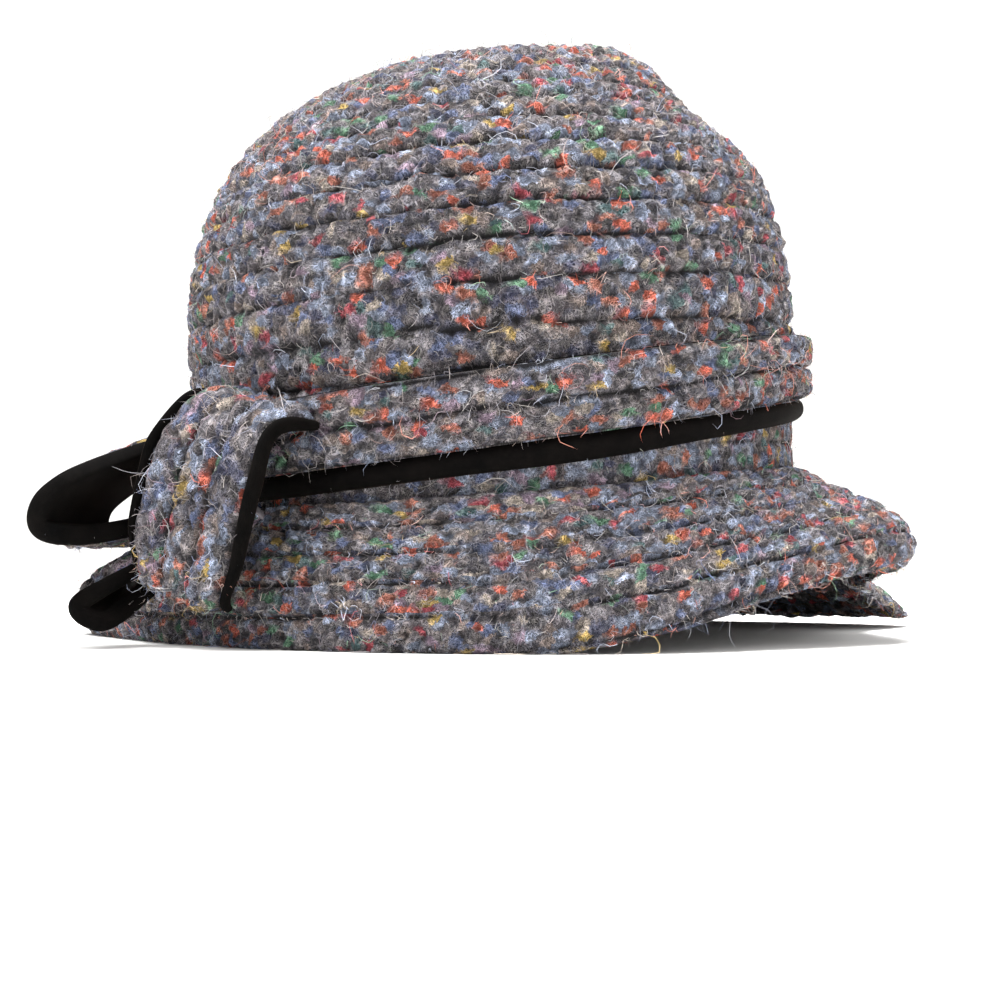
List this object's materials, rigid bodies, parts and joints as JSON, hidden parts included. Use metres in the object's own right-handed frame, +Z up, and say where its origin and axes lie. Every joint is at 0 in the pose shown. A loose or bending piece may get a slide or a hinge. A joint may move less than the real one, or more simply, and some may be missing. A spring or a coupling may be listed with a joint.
{
  "type": "cloche hat",
  "caption": "Soft cloche hat of knitted tweed strip with a rolled brim, a velvet-backed hatband, a looped bow and a black lining.",
  "frame": {"origin": "on the floor under the middle of the hat's bounding box", "axes": "+Z up, the front of the hat toward -Y, the bow at the front on the -X side, the hat at rest on its brim"},
  "size_m": [0.266, 0.2736, 0.168],
  "materials": {
    "tweed": "bulky knitted wool and mohair tweed strip, charcoal with coloured slubs, very fuzzy",
    "tweed_band": "the same tweed strip in a hatband and a bow",
    "velvet": "dark brown velvet ribbon, short pile",
    "lining": "black woven lining, smooth",
    "sweatband": "black ribbed ribbon sweatband"
  },
  "bodies": {
    "root": {"crown": "tweed", "brim": "tweed", "hatband": "tweed_band", "hatband_velvet": "velvet", "lining": "lining", "sweatband": "sweatband", "bow_knot": "tweed_band", "bow_knot_velvet": "velvet", "bow_side_loop": "tweed_band", "bow_side_loop_velvet": "velvet", "bow_lower_loop": "tweed_band", "bow_lower_loop_velvet": "velvet"}
  },
  "joints": []
}
